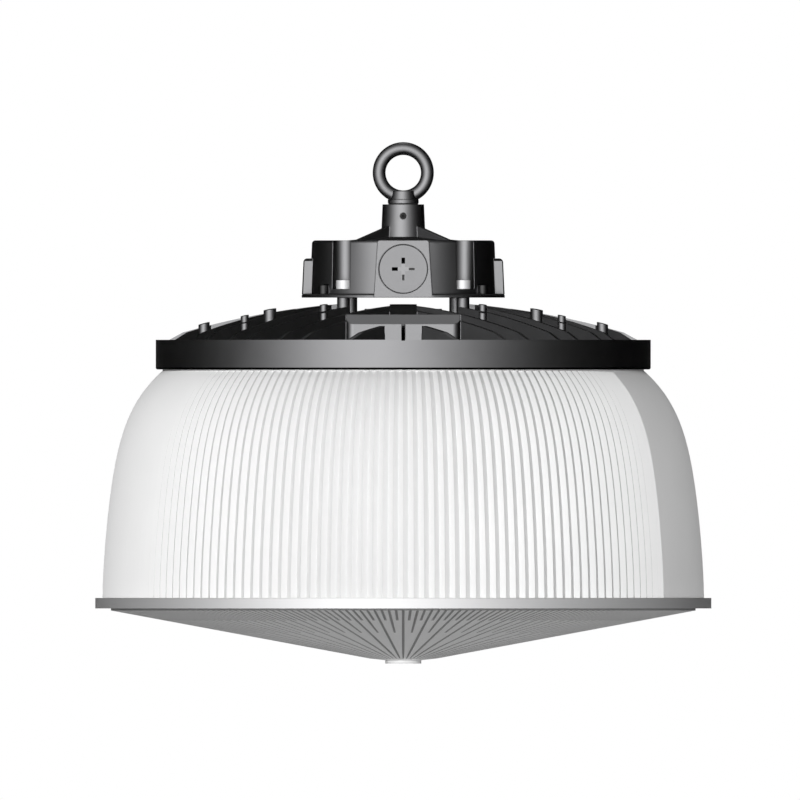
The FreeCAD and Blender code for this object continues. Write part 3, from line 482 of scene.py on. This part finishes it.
dome = {
    "flutes": 180,
    "fluteDepth": 2.1 * mm,
    "top": -131.2 * mm,
    "fluteTop": -132.0 * mm,
    "underFlange": -134.2 * mm,
    "ringTop": -283.5 * mm,
    "footTop": -284.7 * mm,
    "footBase": -286.8 * mm,
    "topRadius": 160.4 * mm,
    "baseRadius": 200.5 * mm,
    "flangeRadius": 137.0 * mm,
    "footRadius": 203.1 * mm,
    "wall": 5.3 * mm,
    "lean": 0.45,
    "leanPower": 1.6,
    "shoulderPower": 6.5,
    "rows": 26,
    "rowPower": 1.4,  # closer rows towards the shoulder
    "seam": -29.0,  # degrees from +X, where the two mouldings meet
    "sideFlutes": 72,  # flutes of the smaller moulding, from there round to the back
}


def domeRadius(share):  # 0 at the ring, 1 under the flange
    lean = dome["lean"] * share ** dome["leanPower"]
    shoulder = (1 - dome["lean"]) * share ** dome["shoulderPower"]
    return dome["baseRadius"] - (dome["baseRadius"] - dome["topRadius"]) * (lean + shoulder)


def domeProfile():  # radius, height and share of the flute, round the whole section
    tall = dome["fluteTop"] - dome["ringTop"]
    rows = dome["rows"]
    shares = [1 - (row / rows) ** dome["rowPower"] for row in range(rows, -1, -1)]
    outer = [(domeRadius(share), dome["ringTop"] + tall * share, 1.0) for share in shares]
    inner = [(radius - dome["wall"], height, 0.0) for radius, height, flute in reversed(outer)
             if height < dome["underFlange"]]
    flange = [
        (dome["topRadius"], dome["fluteTop"], 0.0),
        (dome["topRadius"], dome["top"], 0.0),
        (dome["flangeRadius"], dome["top"], 0.0),
        (dome["flangeRadius"], dome["underFlange"], 0.0),
    ]
    foot = [
        (dome["baseRadius"] - dome["wall"], dome["footBase"], 0.0),
        (dome["footRadius"], dome["footBase"], 0.0),
        (dome["footRadius"], dome["footTop"], 0.0),
        (dome["baseRadius"] - dome["fluteDepth"], dome["footTop"], 0.0),
    ]
    return outer + flange + inner + foot


def makeShell(name, first, count):
    step = 2 * math.pi / dome["flutes"]
    columns = []
    for angle, valley in ((-step / 2, 1.0), (0.0, 0.0), (step / 2, 1.0)):
        columns.append([around(radius - valley * flute * dome["fluteDepth"], angle, height)
                        for radius, height, flute in domeProfile()])
    start = math.radians(dome["seam"]) + (first + 0.5) * step
    piece = newPiece(name, gridSlice(name, columns, True))
    grow(piece, ringTree(name + "Flutes", finishes["domePrism"]),
         Count=count, Start=start, Step=step, Weld=weld)
    crispEdges(piece.data)
    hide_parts("refractor_dome")
    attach(piece, "root")
    print(name + ":", len(piece.data.polygons), "faces")
    return piece


# cone lens

cone = {
    "sectors": 64,
    "radius": 194.9 * mm,
    "tipRadius": 22.5 * mm,
    "edge": -291.87 * mm,
    "tip": -323.85 * mm,
    "wall": 2.5 * mm,
    "rows": 8,
    "flangeRadius": 203.1 * mm,
    "flangeTop": -287.2 * mm,
    "flangeBase": -289.3 * mm,
    "discRadius": 12.0 * mm,
    "discTop": -325.0 * mm,
    "discBase": -327.25 * mm,
    "discPoints": 3,  # points of a column before its slope starts
    "grooveWidth": 1.8 * mm,
    "grooveDepth": 0.8 * mm,
    "longFrom": 22.5 * mm,
    "middleFrom": 115.0 * mm,
    "shortFrom": 159.0 * mm,
    "longShare": 0.18,  # most of a sector that half a long groove takes, near the tip
    "otherShare": 0.06,
    "grooves": [  # place in a sector, and where the groove starts
        (-0.5, "middleFrom"),
        (-0.25, "shortFrom"),
        (0.0, "longFrom"),
        (0.25, "shortFrom"),
        (0.5, "middleFrom"),
    ],
    # painted shade in the grooves and painted shadow on the skirt under the ring, above the next
    # height
    "grooveAndSkirtShade": grey(0.36),
    "ringShadowFrom": -291.9 * mm,
    "discFoot": -326.4 * mm,
    # painted shade at the disc's foot
    "discFootShade": grey(0.68),
}


def coneRecipe(wire, coat):  # painted shade in the grooves, a painted shadow on the skirt under the ring, and painted shade at the disc's foot
    recipe = coatRecipe(wire, coat)
    up = objectAxes(wire)[2]
    groove = wire.node("ShaderNodeAttribute", {"attribute_name": grooveMark}, out="Fac")
    # where shade is painted: the grooves, and the skirt under the ring
    dark = wire.do("MAXIMUM", groove, up > cone["ringShadowFrom"])
    colour = mix(wire, up < cone["discFoot"], recipe["Base Color"], cone["discFootShade"])
    recipe["Base Color"] = mix(wire, dark, colour, cone["grooveAndSkirtShade"])
    return recipe


def coneHeight(radius):
    share = (radius - cone["tipRadius"]) / (cone["radius"] - cone["tipRadius"])
    return cone["tip"] + (cone["edge"] - cone["tip"]) * share


def coneRadii():
    span = cone["radius"] - cone["tipRadius"]
    radii = {cone["tipRadius"] + span * row / cone["rows"] for row in range(cone["rows"] + 1)}
    for start in (cone["longFrom"], cone["middleFrom"], cone["shortFrom"]):
        radii |= {start, start + cone["grooveDepth"]}
    return sorted(radii)


def coneColumn(step, place, start, side):  # from the disc's middle out to the flange and back
    middle = place * step
    share = cone["longShare"] if start == "longFrom" else cone["otherShare"]
    column = [
        (0.0, 0.0, cone["discBase"]),
        around(cone["discRadius"], middle, cone["discBase"]),
        around(cone["discRadius"], middle, cone["discTop"]),
    ]
    for radius in coneRadii():
        spread = min(cone["grooveWidth"] / 2, radius * step * share)
        depth = cone["grooveDepth"] if side == 0 and radius > cone[start] else 0.0
        column.append(around(radius, middle + side * spread / radius, coneHeight(radius) + depth))
    angle = middle + side * cone["grooveWidth"] / 2 / cone["radius"]
    return column + [
        around(cone["radius"], angle, cone["flangeBase"]),
        around(cone["flangeRadius"], angle, cone["flangeBase"]),
        around(cone["flangeRadius"], angle, cone["flangeTop"]),
        around(cone["radius"] - cone["wall"], angle, cone["flangeTop"]),
        around(cone["tipRadius"], middle, cone["tip"] + cone["wall"]),
        (0.0, 0.0, cone["tip"] + cone["wall"]),
    ]


def makeCone():
    step = 2 * math.pi / cone["sectors"]
    radii = coneRadii()
    columns = []
    starts = []  # the radius where the groove beside each column begins, or nothing
    for place, start in cone["grooves"]:
        for side in (-1, 0, 1):
            if abs(place) == 0.5 and side * place > 0:  # past the sector's edge
                continue
            columns.append(coneColumn(step, place, start, side))
            starts.append(cone[start] if side < 1 else None)

    def inGroove(column, point):
        row = point - cone["discPoints"]
        start = starts[column]
        return start is not None and 0 <= row < len(radii) - 1 and radii[row] >= start

    piece = newPiece("coneLens", gridSlice("coneLens", columns, False, inGroove))
    grow(piece, ringTree("coneGrooves", finishes["conePrism"]),
         Count=cone["sectors"], Start=0.0, Step=step, Weld=weld)
    crispEdges(piece.data)
    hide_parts("cone_lens")
    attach(piece, "root")
    print("cone:", len(piece.data.polygons), "faces")


# finishes

recipes = {
    "housingBlack": housingRecipe,
    "sinkBlack": sinkRecipe,
    "plugBlack": plugRecipe,
    "ringSatin": ringRecipe,
    "conePrism": coneRecipe,
}
nodeFinish = {
    "castBlack": ["eye_bolt", "driver_base_plate", "standoff_posts", "lens_ring"],
    "housingBlack": ["driver_housing"],
    "sinkBlack": ["heat_sink"],
    "screwOxide": ["eye_set_screw"],
    "plugBlack": ["cable_entry_plug"],
    "sealRubber": ["eye_washer", "plug_seal", "base_plate_gasket", "lead_grommet", "lead_seal",
                   "lens_gasket", "ring_gasket"],
    "zincPlate": ["eye_nut", "base_plate_screws", "driver_screws", "led_board_screws",
                  "lens_ring_screws", "refractor_screws"],
    "ringSatin": ["retaining_ring"],
    "driverPotting": ["driver_module"],
    "maskWhite": ["terminal_block", "led_board"],
    "ledPhosphor": ["led_chips"],
    "coverClear": ["lens_plate"],
}
castings = ("castBlack", "housingBlack", "sinkBlack", "plugBlack")
finishes = {name: newMaterial(name, recipes.get(name, coatRecipe)) for name in coats}
for finish, names in nodeFinish.items():
    for name in names:
        nodes[name].data.materials.clear()
        nodes[name].data.materials.append(finishes[finish])
        nodes[name].visible_glossy = finish not in castings  # they mirror the room alone
print("materials:", len(finishes))

sideShell = makeShell("refractorSide", 0, dome["sideFlutes"])
mainShell = makeShell("refractorMain", dome["sideFlutes"], dome["flutes"] - dome["sideFlutes"])
makeCone()


# studio

studio = {
    "picture": 800,  # pixels on a side
    "pixel": 2.0 / 3.0 * mm,
    "axisColumn": 403.25,
    "eyeRow": 172.7,
    "cameraBack": 2.0,
    "cameraReach": 20.0,
    "floor": -0.45,
    "floorHalf": 6.0,
    "floorGlow": 0.42,
    "floorPale": (0.3, 0.8),  # as the object and as the camera sees it
    "ambient": 0.06,
    "key": {"turn": -18.0, "rise": 8.0, "power": 1.4, "spread": 4.0},
    "front": {"turn": 0.0, "rise": 4.0, "power": 1.56, "spread": 20.0},
    "below": {"turn": 10.0, "rise": -80.0, "power": 0.82, "spread": 30.0},
    "back": {"turn": 165.0, "rise": 25.0, "power": 2.4, "spread": 30.0},
    "windows": [  # what metal mirrors: turn, rise, strength, tightness
        (-15.0, 8.0, 2.5, 4.0),
        (180.0, 70.0, 1.3, 60.0),
        (180.0, -18.0, 0.12, 14.0),
    ],
}
white = (*grey(1.0), 1.0)


def towards(turn, rise):  # turn from the camera's side to the right, and rise, in degrees
    turn, rise = math.radians(turn), math.radians(rise)
    level = math.cos(rise)
    return (math.sin(turn) * level, -math.cos(turn) * level, math.sin(rise))


def makeCamera():
    camera = bpy.data.cameras.new("photoCamera")
    camera.type = "ORTHO"
    camera.ortho_scale = studio["picture"] * studio["pixel"]
    camera.clip_end = studio["cameraReach"]
    holder = newPiece("photoCamera", camera)
    middle = studio["picture"] / 2
    right = (middle - studio["axisColumn"]) * studio["pixel"]
    up = (studio["eyeRow"] - middle) * studio["pixel"]
    holder.location = (right, -studio["cameraBack"], up)
    holder.rotation_euler = (math.radians(90), 0.0, 0.0)
    bpy.context.scene.camera = holder


def makeLamp(name):
    setting = studio[name]
    lamp = bpy.data.lights.new(name + "Lamp", "SUN")
    lamp.energy = setting["power"]
    lamp.angle = math.radians(setting["spread"])
    holder = newPiece(name + "Lamp", lamp)
    tilt, turn = math.radians(90 - setting["rise"]), math.radians(setting["turn"])
    holder.rotation_euler = (tilt, 0.0, turn)
    holder.visible_camera = False
    holder.visible_glossy = False  # metal mirrors the soft windows of the world instead
    return holder


def leaveOut(name, pieces):  # a group whose pieces a lamp passes over
    group = bpy.data.collections.new(name)
    for place, piece in enumerate(pieces):
        group.objects.link(piece)
        group.collection_objects[place].light_linking.link_state = "EXCLUDE"
    return group


def makeStage():
    shape = bmesh.new()
    bmesh.ops.create_grid(shape, x_segments=1, y_segments=1, size=studio["floorHalf"])
    mesh = bpy.data.meshes.new("studioFloor")
    shape.to_mesh(mesh)
    shape.free()
    floor = newPiece("studioFloor", mesh)
    floor.location.z = studio["floor"]
    floor.visible_glossy = False
    floor.visible_shadow = False  # lets the lamp below reach the cone
    material = bpy.data.materials.new("floorPale")
    wire = freshWire(material)
    seen = wire.node("ShaderNodeLightPath", out="Is Camera Ray")
    dark, light = [grey(shade) for shade in studio["floorPale"]]
    pale = wire.node("ShaderNodeBsdfDiffuse", inputs={"Color": mix(wire, seen, dark, light)})
    glow = wire.node("ShaderNodeEmission", inputs={
        "Color": white, "Strength": seen * studio["floorGlow"]})
    both = wire.node("ShaderNodeAddShader", inputs={0: pale, 1: glow})
    under = wire.node("ShaderNodeNewGeometry", out="Backfacing")
    clear = wire.node("ShaderNodeBsdfTransparent")  # seen through from below
    shown = wire.node("ShaderNodeMixShader", inputs={0: under, 1: both, 2: clear})
    wire.node("ShaderNodeOutputMaterial", inputs={"Surface": shown})
    mesh.materials.append(material)


def makeWorld():
    world = bpy.data.worlds.new("studioWorld")
    wire = freshWire(world)
    world.cycles.sampling_method = "NONE"
    bpy.context.scene.world = world
    path = wire.node("ShaderNodeLightPath", out="Is Camera Ray")
    seen = wire.do("MAXIMUM", path, path.pick("Is Transmission Ray"))
    ray = wire.node("ShaderNodeTexCoord", out="Generated")
    mirrored = 0.0
    for turn, rise, power, tight in studio["windows"]:
        facing = wire.node("ShaderNodeVectorMath", {"operation": "DOT_PRODUCT"}, {
            0: ray, 1: towards(turn, rise)}, out="Value")
        mirrored = mirrored + wire.do("EXPONENT", (facing - 1.0) * tight) * power
    glossy = path.pick("Is Glossy Ray") * (mirrored - studio["ambient"])
    strength = seen * (1.0 - studio["ambient"]) + studio["ambient"] + glossy
    sky = wire.node("ShaderNodeBackground", inputs={"Color": white, "Strength": strength})
    wire.node("ShaderNodeOutputWorld", inputs={"Surface": sky})


makeCamera()
makeStage()
makeWorld()
lamps = {name: makeLamp(name) for name in ("key", "front", "below", "back")}
lamps["key"].light_linking.receiver_collection = leaveOut("keyUnlit", [sideShell])
for name in ("key", "front"):  # clear flutes throw no hard shadows on each other
    passing = leaveOut(name + "Passing", [mainShell, sideShell])
    lamps[name].light_linking.blocker_collection = passing
bpy.context.scene.view_settings.view_transform = "Standard"
print("studio: camera, floor,", len(lamps), "lamps")
